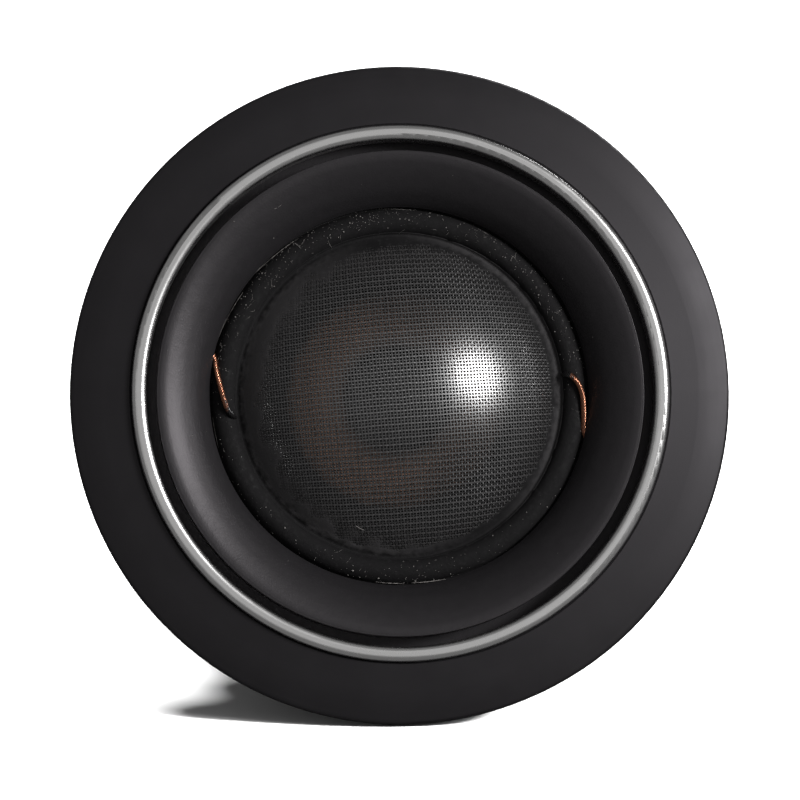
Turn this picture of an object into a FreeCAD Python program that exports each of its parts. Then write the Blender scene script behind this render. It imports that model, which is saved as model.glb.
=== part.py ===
"""Car tweeter: a 25 mm woven soft-dome driver with a smooth round flange, a bright trim ring and a
sealed rear can.

Row frame, in millimetres: the tweeter faces -Y, +X is to the right of someone looking at the dome,
and +Z is up. The origin is on the axis, at the back face of the flange, where the panel begins.

Everything turned on the axis is drawn as a half section of (r, f) points: r is the distance from
the axis and f is how far forward of the panel the point lies, so f = -y.
"""
import FreeCAD
import Part

import math
import os
from collections import namedtuple

# ---------------------------------------------------------------- driving dimensions
FLANGE_RADIUS = 26.0
FLANGE_EDGE_HEIGHT = 1.45      # front of the flange where its edge rounding begins
FLANGE_CREST_HEIGHT = 2.35     # front of the flange beside the trim ring
FLANGE_SHALLOW_SLOPE = 9.5     # degrees the front falls away outwards, up to the bend
FLANGE_BEND_RADIUS = 24.3      # beyond it the front falls more steeply to the edge
FLANGE_BEND_CURVE = 13.0
BARREL_RADIUS = 21.9           # goes through the panel's hole
BARREL_LENGTH = 9.5
BARREL_BORE = 20.9             # threaded on the real part, plain here
LIP_BORE = 20.2                # inside of the flange's lip, under the trim ring
TRIM_BORE = 19.98              # the ring overhangs the lip a little
TRIM_RADIUS = 21.16
TRIM_SEAT_HEIGHT = 0.9
TRIM_HEIGHT = 3.0
TRIM_ROUNDING = 0.46

HORN_RIM_RADIUS = 19.18        # the groove for a grille lies between this and TRIM_BORE
HORN_CREST_RADIUS = 19.12
HORN_CREST_HEIGHT = 2.41
HORN_SHOULDER_CURVE = 2.6      # radius of the turn just inside the crest
HORN_SHOULDER_TURN = 20.0      # degrees it turns before the slacker flare takes over
HORN_FLARE_CURVE = 6.2
HORN_THROAT_RADIUS = 15.0
HORN_FOOT_RADIUS = 20.8
HORN_FOOT_TOP = -0.3           # floor of the grille groove

RIM_TOP = -1.1                 # top of the surround's glued rim, and the dome's base
SHEET = 0.2                    # thickness of the dome and of the surround
RIM_RADIUS = 16.4
ROLL_MIDDLE = 13.9
ROLL_HALF_WIDTH = 1.0
ROLL_RISE = 0.85
DOME_SPHERE = 17.0
DOME_RADIUS = 12.7
DOME_SKIRT = 1.1
DOME_APEX = RIM_TOP + DOME_SPHERE - math.sqrt(DOME_SPHERE ** 2 - DOME_RADIUS ** 2)
GLUE_WIDTH = 0.45              # how far the bead climbs the dome
GLUE_GAP = 0.02

FORMER_WALL = 0.1
FORMER_BOTTOM = -7.1
COIL_TURNS = 18
COIL_WIRE = 0.156
COIL_LAYERS = 0.3              # two layers of wire, nested
COIL_TOP = -4.2

CARRIER_TOP = RIM_TOP - SHEET
CARRIER_BOTTOM = -4.35         # the magnetic gap begins here
CARRIER_BORE = 13.9
STACK_RADIUS = 20.8            # what the barrel's bore holds
POLE_RADIUS = 12.35
POLE_THICKNESS = 2.5
POLE_BORE = 4.2
CAP_WALL = 0.15
MAGNET_RADIUS = 11.8
MAGNET_THICKNESS = 4.5
YOKE_RADIUS = 17.0
YOKE_GAP_RADIUS = 13.35
YOKE_FLOOR = 3.0
GASKET_THICKNESS = 0.5

CAN_RADIUS = 20.4
CAN_BORE = 17.1
CAN_CAVITY_RADIUS = 15.0
CAN_BACK = -24.0
CAN_WALL = 2.2
CAN_CHAMFER = 0.8
THREAD_END = -10.3
RELIEF_WIDTH = 0.8
RIB_GROOVES = (-13.6, -15.6, -17.6)
RIB_GROOVE_WIDTH = 0.8
RIB_GROOVE_DEPTH = 0.5
BOARD_RADIUS = 15.5
BOARD_THICKNESS = 1.1
INSERT_RADIUS = 3.2
INSERT_HOLE = 1.65             # tapping size of an M4 thread
INSERT_FLANGE_RADIUS = 4.3
INSERT_FLANGE = 0.5
INSERT_LENGTH = 6.0
SCREW_CIRCLE = 12.2
SCREW_RADIUS = 0.95
SCREW_HEAD_RADIUS = 1.9
SCREW_HEAD = 0.9

LEAD_DIAMETER = 0.4
LUG_ANGLE = -15.0              # of the right-hand lug; the left-hand one is opposite
LUG_INNER = 16.9
LUG_OUTER = 18.7
LUG_WIDTH = 2.4
LUG_THICKNESS = 0.3
LUG_PIN_RADIUS_AT = 18.2       # the pin's distance from the axis
LUG_PIN_BOTTOM = -6.4
HOOKUP_DIAMETER = 0.9
TERMINAL_AT = 11.5             # the blades' distance from the axis
TAIL_END = -20.6

Via = namedtuple("Via", "r f")             # the stretch is an arc through this point
Corner = namedtuple("Corner", "r f size")  # a corner rounded to this radius

AXIS = FreeCAD.Vector(0, 1, 0)
ORIGIN = FreeCAD.Vector(0, 0, 0)
made = {}


# ---------------------------------------------------------------- drawing helpers
def at(r, f):
    """A point of the half section, in the XY plane."""
    return FreeCAD.Vector(r, -f, 0)


def spot(angle, r, f):
    """A point at an angle round the axis, measured from +X towards +Z."""
    a = math.radians(angle)
    return FreeCAD.Vector(r * math.cos(a), -f, r * math.sin(a))


def rounded(before, corner, after, size):
    """Where a rounding of that radius starts, passes and ends, between three points."""
    to_before = (before - corner).normalize()
    to_after = (after - corner).normalize()
    half = to_before.getAngle(to_after) / 2
    reach = size / math.tan(half)
    middle = (to_before + to_after).normalize() * (size / math.sin(half) - size)
    return corner + to_before * reach, corner + middle, corner + to_after * reach


def outline(points):
    """A closed face from half-section points: straight, rounded at a Corner, curved at a Via."""
    count = len(points)
    spots = [at(p.r, p.f) if isinstance(p, (Via, Corner)) else at(*p) for p in points]
    starts, ends, edges = {}, {}, []
    for i, p in enumerate(points):
        if isinstance(p, Corner):
            first, middle, last = rounded(spots[i - 1], spots[i], spots[(i + 1) % count], p.size)
            edges.append(Part.Arc(first, middle, last).toShape())
            ends[i], starts[i] = first, last
        elif not isinstance(p, Via):
            ends[i] = starts[i] = spots[i]
    for i, p in enumerate(points):
        if isinstance(p, Via):
            continue
        following = (i + 1) % count
        if isinstance(points[following], Via):
            goal = (i + 2) % count
            edges.append(Part.Arc(starts[i], spots[following], ends[goal]).toShape())
        elif starts[i].distanceToPoint(ends[following]) > 1e-6:
            edges.append(Part.LineSegment(starts[i], ends[following]).toShape())
    wires = Part.sortEdges(edges)
    return Part.Face(Part.Wire(wires[0]))


def turned(points):
    """A half section turned all the way round the axis."""
    return outline(points).revolve(ORIGIN, AXIS, 360)


def ring(inner, outer, back, front):
    """A plain ring between two radii and two depths; inner may be 0."""
    body = Part.makeCylinder(outer, front - back, at(0, front), AXIS)
    if inner:
        body = body.cut(Part.makeCylinder(inner, front - back, at(0, front), AXIS))
    return body


def block(width, height, back, front, x=0.0, z=0.0):
    """A box centred on (x, z) that runs between two depths."""
    corner = FreeCAD.Vector(x - width / 2, -front, z - height / 2)
    return Part.makeBox(width, front - back, height, corner)


def spun(shape, angle):
    """A copy turned round the axis, from +X towards +Z."""
    copy = shape.copy()
    copy.rotate(ORIGIN, AXIS, -angle)
    return copy


def route(points):
    """Straight runs joined by tangent arcs, each arc as large as its two runs allow."""
    edges, here = [], points[0]
    for before, corner, after in zip(points, points[1:], points[2:]):
        turn = math.pi - (before - corner).getAngle(after - corner)
        shorter = min(before.distanceToPoint(corner), corner.distanceToPoint(after))
        size = 0.45 * shorter / math.tan(turn / 2)
        first, middle, last = rounded(before, corner, after, size)
        edges.append(Part.LineSegment(here, first).toShape())
        edges.append(Part.Arc(first, middle, last).toShape())
        here = last
    edges.append(Part.LineSegment(here, points[-1]).toShape())
    return Part.Wire(edges)


def tube(points, diameter):
    """A round wire of that diameter along a route; its volume is compared with its length."""
    path = route(points)
    direction = points[1] - points[0]
    section = Part.Wire(Part.makeCircle(diameter / 2, points[0], direction))
    solid = path.makePipeShell([section], True, False)
    expected = path.Length * math.pi * diameter ** 2 / 4
    bends = [e.Curve.Radius for e in path.Edges if isinstance(e.Curve, Part.Circle)]
    print(f"wire {path.Length:.2f} mm long, volume / expected {solid.Volume / expected:.4f},"
          f" tightest bend {min(bends):.2f} mm")
    return solid


def both_sides(shape):
    """The shape drawn on +X, and its copy half a turn round the axis."""
    return shape, spun(shape, 180)


def save(name, *solids):
    """Writes one node, and remembers it."""
    shape = solids[0] if len(solids) == 1 else Part.makeCompound(list(solids))
    made[name] = shape
    shape.exportStep(os.path.join("parts", name + ".step"))


# ---------------------------------------------------------------- shapes that neighbours share
def dome_height(r, sphere=DOME_SPHERE):
    """Height of the dome's outer face at a radius, or of a smaller sphere round the same centre."""
    return DOME_APEX - DOME_SPHERE + math.sqrt(sphere ** 2 - r ** 2)


ROLL_SPHERE = (ROLL_HALF_WIDTH ** 2 + ROLL_RISE ** 2) / (2 * ROLL_RISE)
ROLL_CENTRE = RIM_TOP + ROLL_RISE - ROLL_SPHERE


def roll_height(r, lift=0.0):
    """Height of the roll's outer face at a radius, or of a larger arc round the same centre."""
    return ROLL_CENTRE + math.sqrt((ROLL_SPHERE + lift) ** 2 - (r - ROLL_MIDDLE) ** 2)


FORMER_RADIUS = DOME_RADIUS + FORMER_WALL
YOKE_BACK = CARRIER_BOTTOM - POLE_THICKNESS - MAGNET_THICKNESS - YOKE_FLOOR
CAN_FRONT = CARRIER_BOTTOM - GASKET_THICKNESS
BOARD_FLOOR = CAN_BACK + BOARD_THICKNESS
SCREW_ANGLES = (45, 135, 225, 315)


# ---------------------------------------------------------------- front
def faceplate():
    """Round flange whose front falls away in two slopes, one piece with the barrel behind it."""
    seat = TRIM_RADIUS + 0.02
    inner, outer = seat + 0.15, FLANGE_RADIUS
    fall = (FLANGE_BEND_RADIUS - inner) * math.tan(math.radians(FLANGE_SHALLOW_SLOPE))
    return turned([
        (LIP_BORE, HORN_FOOT_TOP),
        (LIP_BORE, TRIM_SEAT_HEIGHT),
        (seat, TRIM_SEAT_HEIGHT),
        (seat, FLANGE_CREST_HEIGHT - 0.15),
        (inner, FLANGE_CREST_HEIGHT),
        Corner(FLANGE_BEND_RADIUS, FLANGE_CREST_HEIGHT - fall, FLANGE_BEND_CURVE),
        (outer - 0.35, FLANGE_EDGE_HEIGHT),
        Corner(outer, FLANGE_EDGE_HEIGHT - 0.13, 0.3),
        Corner(outer, 0, 0.2),
        (BARREL_RADIUS, 0),
        (BARREL_RADIUS, -BARREL_LENGTH + 0.3),
        (BARREL_RADIUS - 0.3, -BARREL_LENGTH),
        (BARREL_BORE, -BARREL_LENGTH),
        (BARREL_BORE, HORN_FOOT_TOP),
    ])


def trim_ring():
    """Bright ring pressed into the flange, standing proud of it with both top edges rounded."""
    return turned([
        (TRIM_BORE, TRIM_SEAT_HEIGHT),
        Corner(TRIM_BORE, TRIM_HEIGHT, TRIM_ROUNDING),
        Corner(TRIM_RADIUS, TRIM_HEIGHT, TRIM_ROUNDING),
        (TRIM_RADIUS, TRIM_SEAT_HEIGHT + 0.15),
        (TRIM_RADIUS - 0.15, TRIM_SEAT_HEIGHT),
    ])


def flare_point(slope):
    """Where the flare slopes by that many degrees, from 0 at its crest."""
    def along(start, size, begin, end):
        a, b = math.radians(begin), math.radians(end)
        return (start[0] - size * (math.sin(b) - math.sin(a)),
                start[1] - size * (math.cos(a) - math.cos(b)))
    shoulder = along((HORN_CREST_RADIUS, HORN_CREST_HEIGHT), HORN_SHOULDER_CURVE, 0,
                     min(slope, HORN_SHOULDER_TURN))
    if slope <= HORN_SHOULDER_TURN:
        return shoulder
    return along(shoulder, HORN_FLARE_CURVE, HORN_SHOULDER_TURN, slope)


def throat_slope():
    """The flare's slope, in degrees, where it meets the throat."""
    reach = flare_point(HORN_SHOULDER_TURN)[0] - HORN_THROAT_RADIUS
    turn = math.sin(math.radians(HORN_SHOULDER_TURN))
    return math.degrees(math.asin(turn + reach / HORN_FLARE_CURVE))


def waveguide():
    """Short flared ring between the dome and the grille groove. It clamps the surround's rim."""
    throat, end = HORN_THROAT_RADIUS, throat_slope()
    lip = flare_point(end)
    body = turned([
        (throat, RIM_TOP),
        lip,
        Via(*flare_point((end + HORN_SHOULDER_TURN) / 2)),
        flare_point(HORN_SHOULDER_TURN),
        Via(*flare_point(HORN_SHOULDER_TURN / 2)),
        (HORN_CREST_RADIUS, HORN_CREST_HEIGHT),
        Corner(HORN_RIM_RADIUS, HORN_CREST_HEIGHT, 0.06),
        (HORN_RIM_RADIUS, HORN_FOOT_TOP),
        (HORN_FOOT_RADIUS, HORN_FOOT_TOP),
        (HORN_FOOT_RADIUS, CARRIER_TOP),
        (RIM_RADIUS + 0.1, CARRIER_TOP),
        (RIM_RADIUS + 0.1, RIM_TOP),
    ])
    pocket_width, pocket_top, pocket_end = 3.6, lip[1] - 0.02, 18.9
    inner = throat - 0.3
    pocket = block(pocket_end - inner, pocket_width, CARRIER_TOP - 1, pocket_top,
                   x=(pocket_end + inner) / 2)
    for pocket in both_sides(spun(pocket, LUG_ANGLE)):
        body = body.cut(pocket)
    return body


# ---------------------------------------------------------------- diaphragm
def dome():
    """Pressed cap of woven cloth with a short skirt that sits inside the coil former."""
    inner_sphere, inner_radius = DOME_SPHERE - SHEET, DOME_RADIUS - SHEET
    share = 0.6
    return turned([
        (0, DOME_APEX),
        Via(DOME_RADIUS * share, dome_height(DOME_RADIUS * share)),
        (DOME_RADIUS, RIM_TOP),
        (DOME_RADIUS, RIM_TOP - DOME_SKIRT),
        (inner_radius, RIM_TOP - DOME_SKIRT),
        (inner_radius, dome_height(inner_radius, inner_sphere)),
        Via(inner_radius * share, dome_height(inner_radius * share, inner_sphere)),
        (0, DOME_APEX - SHEET),
    ])


def surround():
    """Half roll round the dome, with a flat rim glued to the carrier ring."""
    inner, outer = ROLL_MIDDLE - ROLL_HALF_WIDTH, ROLL_MIDDLE + ROLL_HALF_WIDTH
    return turned([
        (FORMER_RADIUS, RIM_TOP),
        (inner, RIM_TOP),
        Via(ROLL_MIDDLE, RIM_TOP + ROLL_RISE),
        (outer, RIM_TOP),
        (RIM_RADIUS, RIM_TOP),
        (RIM_RADIUS, RIM_TOP - SHEET),
        (outer - SHEET, RIM_TOP - SHEET),
        Via(ROLL_MIDDLE, RIM_TOP + ROLL_RISE - SHEET),
        (inner + SHEET, RIM_TOP - SHEET),
        (FORMER_RADIUS, RIM_TOP - SHEET),
    ])


def dome_glue_ring():
    """Bead of adhesive in the valley between the dome and the roll."""
    top = DOME_RADIUS - GLUE_WIDTH
    climb = (top + DOME_RADIUS) / 2
    foot = ROLL_MIDDLE - ROLL_HALF_WIDTH
    clear = ROLL_SPHERE + GLUE_GAP
    shore = foot + 0.2
    foot_gap = ROLL_MIDDLE - math.sqrt(clear ** 2 - (RIM_TOP + GLUE_GAP - ROLL_CENTRE) ** 2)
    half_way = (shore + foot_gap) / 2
    return turned([
        (DOME_RADIUS - 0.02, RIM_TOP + GLUE_GAP),
        (climb, dome_height(climb) + 0.005),
        (top, dome_height(top)),
        Via((top + shore) / 2, (dome_height(top) + roll_height(shore, GLUE_GAP)) / 2 - 0.06),
        (shore, roll_height(shore, GLUE_GAP)),
        Via(half_way, roll_height(half_way, GLUE_GAP)),
        (foot_gap, RIM_TOP + GLUE_GAP),
    ]).cut(Part.makeSphere(DOME_SPHERE, at(0, DOME_APEX - DOME_SPHERE)))


def coil_former():
    """Thin tube that carries the winding."""
    return ring(DOME_RADIUS, FORMER_RADIUS, FORMER_BOTTOM, RIM_TOP)


def voice_coil():
    """Two layers of wire wound on the former, drawn as one ring with a ridge for every turn."""
    outer = FORMER_RADIUS + COIL_LAYERS
    valley = outer - COIL_WIRE / 4
    bottom = COIL_TOP - COIL_TURNS * COIL_WIRE
    points = [(FORMER_RADIUS, COIL_TOP), (valley, COIL_TOP)]
    for turn in range(COIL_TURNS):
        start = COIL_TOP - turn * COIL_WIRE
        points += [Via(outer, start - COIL_WIRE / 2), (valley, start - COIL_WIRE)]
    points.append((FORMER_RADIUS, bottom))
    return turned(points)


# ---------------------------------------------------------------- leads and lugs
def lead_points(bends):
    """A flexible lead: up beside the former, over the roll along the bends, and on to its lug."""
    start_angle = bends[0][0]
    stand_off = FORMER_RADIUS + LEAD_DIAMETER / 2 + 0.02
    lug_top = CARRIER_TOP + LUG_THICKNESS
    end = lug_top + LEAD_DIAMETER / 2 + 0.005
    side = 180 if math.cos(math.radians(start_angle)) < 0 else 0
    return [
        spot(start_angle, stand_off, COIL_TOP + 0.15),
        spot(start_angle, stand_off, RIM_TOP - 0.6),
        *[spot(*b) for b in bends],
        spot(LUG_ANGLE + side, LUG_INNER - 1.0, end + 0.03),
        spot(LUG_ANGLE + side, LUG_INNER + 1.0, end),
    ]


# (angle, r, f) where each lead shows on top of the roll
LEFT_BENDS = ((187, 13.25, -0.2), (183.5, 13.75, 0.12), (177, 14.15, 0.12), (171.5, 14.6, -0.22),
              (167.5, 14.84, -0.8))
RIGHT_BENDS = ((7, 13.25, -0.2), (5.5, 13.95, 0.12), (0.5, 14.5, 0.0), (-6.5, 14.68, -0.3),
               (-12, 14.84, -0.8))


def solder_lug():
    """Flat pad on the carrier ring with a pin that goes down into the rear can."""
    pad = block(LUG_OUTER - LUG_INNER, LUG_WIDTH, CARRIER_TOP, CARRIER_TOP + LUG_THICKNESS,
                x=(LUG_OUTER + LUG_INNER) / 2)
    pin = block(0.4, 0.9, LUG_PIN_BOTTOM, CARRIER_TOP, x=LUG_PIN_RADIUS_AT)
    return spun(pad.fuse(pin).removeSplitter(), LUG_ANGLE)


def carrier_ring():
    """Moulded ring that the surround is glued to, with a slot for each lug's pin."""
    body = ring(CARRIER_BORE, STACK_RADIUS, CARRIER_BOTTOM, CARRIER_TOP)
    slot = block(0.5, 1.0, CARRIER_BOTTOM - 1, CARRIER_TOP + 1, x=LUG_PIN_RADIUS_AT)
    for hole in both_sides(spun(slot, LUG_ANGLE)):
        body = body.cut(hole)
    return body


# ---------------------------------------------------------------- motor
def pole_plate():
    back = CARRIER_BOTTOM - POLE_THICKNESS
    return ring(POLE_BORE, POLE_RADIUS, back, CARRIER_BOTTOM)


def copper_cap():
    """Thin cap over the pole plate, the brown ring that shows through the cloth."""
    back = CARRIER_BOTTOM - POLE_THICKNESS
    return turned([
        (POLE_BORE, CARRIER_BOTTOM),
        (POLE_BORE, CARRIER_BOTTOM + CAP_WALL),
        Corner(POLE_RADIUS + CAP_WALL, CARRIER_BOTTOM + CAP_WALL, 0.1),
        (POLE_RADIUS + CAP_WALL, back),
        (POLE_RADIUS, back),
        (POLE_RADIUS, CARRIER_BOTTOM),
    ])


def magnet():
    front = CARRIER_BOTTOM - POLE_THICKNESS
    body = ring(POLE_BORE, MAGNET_RADIUS, front - MAGNET_THICKNESS, front)
    rims = [e for e in body.Edges if abs(e.BoundBox.XLength - 2 * MAGNET_RADIUS) < 0.01
            and e.BoundBox.YLength < 0.01]
    return body.makeChamfer(0.3, rims)


def yoke_cup():
    """Steel cup: the coil moves between its wall and the pole plate, and its floor is vented."""
    floor = YOKE_BACK + YOKE_FLOOR
    return turned([
        (POLE_BORE, YOKE_BACK),
        (POLE_BORE, floor),
        (YOKE_GAP_RADIUS, floor),
        (YOKE_GAP_RADIUS, CARRIER_BOTTOM),
        (YOKE_RADIUS, CARRIER_BOTTOM),
        Corner(YOKE_RADIUS, YOKE_BACK, 0.6),
    ])


def vent_plug():
    """Felt plug in the bore through the pole, which damps the air going to the rear chamber."""
    return ring(0, POLE_BORE - 0.05, YOKE_BACK + 0.8, CARRIER_BOTTOM - 0.9)


# ---------------------------------------------------------------- rear
def chamber_gasket():
    """Soft ring that seals the rear can against the carrier ring, notched for the lugs' pins."""
    body = ring(CAN_BORE + 0.1, STACK_RADIUS - 0.1, CAN_FRONT, CARRIER_BOTTOM)
    notch = block(1.6, 1.6, CAN_FRONT - 1, CARRIER_BOTTOM + 1, x=LUG_PIN_RADIUS_AT)
    for hole in both_sides(spun(notch, LUG_ANGLE)):
        body = body.cut(hole)
    return body


def rear_can():
    """Turned can: its front screws into the barrel, and its cavity is the sealed rear chamber."""
    inside = CAN_BACK + CAN_WALL
    relief_end = THREAD_END - RELIEF_WIDTH
    points = [
        (CAN_CAVITY_RADIUS, YOKE_BACK),
        (CAN_BORE, YOKE_BACK),
        (CAN_BORE, CAN_FRONT),
        (STACK_RADIUS - 0.3, CAN_FRONT),
        (STACK_RADIUS, CAN_FRONT - 0.3),
        (STACK_RADIUS, THREAD_END),
        (STACK_RADIUS - 0.9, THREAD_END),
        (STACK_RADIUS - 0.9, relief_end),
        (CAN_RADIUS, relief_end),
    ]
    for groove in RIB_GROOVES:
        floor = CAN_RADIUS - RIB_GROOVE_DEPTH
        front, back = groove + RIB_GROOVE_WIDTH / 2, groove - RIB_GROOVE_WIDTH / 2
        points += [(CAN_RADIUS, front), (floor, front - 0.1), (floor, back + 0.1), (CAN_RADIUS, back)]
    points += [
        (CAN_RADIUS, CAN_BACK + CAN_CHAMFER),
        (CAN_RADIUS - CAN_CHAMFER, CAN_BACK),
        (BOARD_RADIUS + 0.1, CAN_BACK),
        (BOARD_RADIUS + 0.1, BOARD_FLOOR),
        (INSERT_RADIUS, BOARD_FLOOR),
        (INSERT_RADIUS, CAN_BACK + INSERT_LENGTH),
        (0, CAN_BACK + INSERT_LENGTH),
        (0, CAN_BACK + INSERT_LENGTH + 1),
        Corner(INSERT_RADIUS + 1.6, CAN_BACK + INSERT_LENGTH + 1, 0.5),
        (INSERT_RADIUS + 1.6, inside),
        (CAN_CAVITY_RADIUS, inside),
    ]
    body = turned(points)
    channel_outer, channel_width, channel_back = 19.3, 2.4, -18.2
    channel_inner = CAN_CAVITY_RADIUS - 1
    channel = block(channel_outer - channel_inner, channel_width, channel_back, CAN_FRONT + 1,
                    x=(channel_outer + channel_inner) / 2)
    window = block(1.6, 3.0, CAN_BACK, inside + 1, x=TERMINAL_AT)
    for hole in (*both_sides(spun(channel, LUG_ANGLE)), *both_sides(window)):
        body = body.cut(hole)
    for angle in SCREW_ANGLES:
        body = body.cut(Part.makeCylinder(SCREW_RADIUS + 0.05, CAN_WALL + 2,
                                          spot(angle, SCREW_CIRCLE, inside + 1), AXIS))
    return body


def chamber_wadding():
    """Felt ring that fills the rear chamber, cut away on both sides for the wires and tails."""
    body = ring(INSERT_RADIUS + 2.0, CAN_CAVITY_RADIUS - 0.3, CAN_BACK + CAN_WALL + 1.0, YOKE_BACK - 0.6)
    cut_inner, cut_outer, cut_height = 10.2, 17.0, 9.4
    gap = block(cut_outer - cut_inner, cut_height, CAN_BACK, YOKE_BACK, x=(cut_outer + cut_inner) / 2,
                z=-1.6)
    for hole in both_sides(gap):
        body = body.cut(hole)
    return body


def plus_and_minus():
    """Raised polarity marks for the terminal board, beside the two blades."""
    mark, stroke, height, rise = 2.2, 0.45, 5.0, 0.2
    top = CAN_BACK
    dash = block(mark, stroke, top - rise, top, x=TERMINAL_AT, z=height)
    cross = dash.fuse(block(stroke, mark, top - rise, top, x=TERMINAL_AT, z=height)).removeSplitter()
    return cross, dash.mirror(ORIGIN, FreeCAD.Vector(1, 0, 0))


def terminal_board():
    """Stiff fibre disc let into the back of the can."""
    body = ring(INSERT_RADIUS + 0.1, BOARD_RADIUS, CAN_BACK, BOARD_FLOOR)
    for slot in both_sides(block(1.0, 2.2, CAN_BACK - 1, BOARD_FLOOR + 1, x=TERMINAL_AT)):
        body = body.cut(slot)
    for angle in SCREW_ANGLES:
        body = body.cut(Part.makeCylinder(SCREW_RADIUS + 0.1, BOARD_THICKNESS + 2,
                                          spot(angle, SCREW_CIRCLE, BOARD_FLOOR + 1), AXIS))
    for mark in plus_and_minus():
        body = body.fuse(mark)
    return body.removeSplitter()


def terminal(width, thickness):
    """Push-on blade with a foot on the board and a tail that reaches into the chamber."""
    foot_thickness, blade_length, hole, bevel = 0.5, 6.3, 0.65, 0.6
    foot_back = CAN_BACK - foot_thickness
    tip = foot_back - blade_length
    foot = block(3.4, width + 0.6, foot_back, CAN_BACK, x=TERMINAL_AT)
    blade = block(thickness, width, tip, foot_back, x=TERMINAL_AT)
    corners = [e for e in blade.Edges if e.BoundBox.XLength > thickness / 2
               and abs(e.BoundBox.YMax + tip) < 0.01]
    blade = blade.makeChamfer(bevel, corners)
    eye = Part.makeCylinder(hole, 2, FreeCAD.Vector(TERMINAL_AT - 1, -tip - 2.4, 0),
                            FreeCAD.Vector(1, 0, 0))
    tail = block(0.5, 1.8, CAN_BACK, TAIL_END, x=TERMINAL_AT)
    return foot.fuse([blade.cut(eye), tail]).removeSplitter()


def hookup_wire():
    """Insulated wire from a lug's pin, down the channel in the can, to the tail of a blade."""
    beside_pin = LUG_PIN_RADIUS_AT - 0.2 - HOOKUP_DIAMETER / 2 - 0.005
    beside_tail = TERMINAL_AT + 0.25 + HOOKUP_DIAMETER / 2 + 0.005
    return tube([
        spot(LUG_ANGLE, beside_pin, CAN_FRONT - 0.3),
        spot(LUG_ANGLE, beside_pin, -16.2),
        spot(LUG_ANGLE, 15.2, -17.5),
        FreeCAD.Vector(13.0, 18.6, -2.2),
        FreeCAD.Vector(beside_tail, 19.6, 0),
        FreeCAD.Vector(beside_tail, 21.2, 0),
    ], HOOKUP_DIAMETER)


def board_screws():
    """Four pan-head screws with cross recesses."""
    shank_length = 2.6
    screws = []
    for angle in SCREW_ANGLES:
        foot = spot(angle, SCREW_CIRCLE, CAN_BACK)
        head = Part.makeCylinder(SCREW_HEAD_RADIUS, SCREW_HEAD, foot, AXIS)
        top = [e for e in head.Edges if abs(e.BoundBox.YMin - foot.y - SCREW_HEAD) < 0.01]
        head = head.makeFillet(0.45, top)
        shank = Part.makeCylinder(SCREW_RADIUS, shank_length, foot, -AXIS)
        screw = head.fuse(shank).removeSplitter()
        for width, height in ((1.9, 0.38), (0.38, 1.9)):
            screw = screw.cut(block(width, height, CAN_BACK - SCREW_HEAD - 1,
                                    CAN_BACK - SCREW_HEAD + 0.5, x=foot.x, z=foot.z))
        screws.append(screw)
    return screws


def mounting_insert():
    """Brass bush with a threaded hole for a rear clamp, flanged over the board."""
    return turned([
        (INSERT_HOLE, CAN_BACK + INSERT_LENGTH),
        (INSERT_RADIUS, CAN_BACK + INSERT_LENGTH),
        (INSERT_RADIUS, CAN_BACK),
        (INSERT_FLANGE_RADIUS, CAN_BACK),
        Corner(INSERT_FLANGE_RADIUS, CAN_BACK - INSERT_FLANGE, 0.2),
        (INSERT_HOLE, CAN_BACK - INSERT_FLANGE),
    ])


def main():
    os.makedirs("parts", exist_ok=True)

    save("faceplate", faceplate())
    save("trim_ring", trim_ring())
    save("waveguide", waveguide())

    left_lead = tube(lead_points(LEFT_BENDS), LEAD_DIAMETER)
    right_lead = tube(lead_points(RIGHT_BENDS), LEAD_DIAMETER)
    sleeves = [tube(lead_points(b), LEAD_DIAMETER + 0.06) for b in (LEFT_BENDS, RIGHT_BENDS)]
    save("lead_wire_left", left_lead)
    save("lead_wire_right", right_lead)
    save("surround", surround().cut(sleeves[0]).cut(sleeves[1]))
    save("dome_glue_ring", dome_glue_ring().cut(sleeves[1]).cut(sleeves[0]))
    save("dome", dome())
    save("coil_former", coil_former())
    save("voice_coil", voice_coil())

    right_lug, left_lug = both_sides(solder_lug())
    save("solder_lug_left", left_lug)
    save("solder_lug_right", right_lug)
    save("carrier_ring", carrier_ring())

    save("pole_plate", pole_plate())
    save("copper_cap", copper_cap())
    save("magnet", magnet())
    save("yoke_cup", yoke_cup())
    save("vent_plug", vent_plug())

    save("chamber_gasket", chamber_gasket())
    save("rear_can", rear_can())
    save("chamber_wadding", chamber_wadding())
    right_wire, left_wire = both_sides(hookup_wire())
    save("hookup_wire_positive", right_wire)
    save("hookup_wire_negative", left_wire)
    save("terminal_board", terminal_board())
    save("terminal_positive", terminal(4.8, 0.8))
    save("terminal_negative", spun(terminal(2.8, 0.5), 180))
    save("board_screws", *board_screws())
    save("mounting_insert", mounting_insert())

    for name, shape in sorted(made.items()):
        print(f"{name:22s} solids {len(shape.Solids)} valid {shape.isValid()} volume {shape.Volume:.2f}")


main()
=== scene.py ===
"""Looks for the car tweeter: materials for the CAD parts, and the woven dome, the surround, its leads,
lint and glue made over their plain CAD solids.

The tweeter faces -Y, +X is to the right of someone who looks at the dome, and +Z is up. As in the CAD
source, r is the distance from the axis and f is how far forward of the panel a point lies. Drawing
helpers take millimetres; everything else is in metres.
"""
import math
import random

import bpy
import numpy as np
from mathutils import Matrix, Vector, noise


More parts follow.
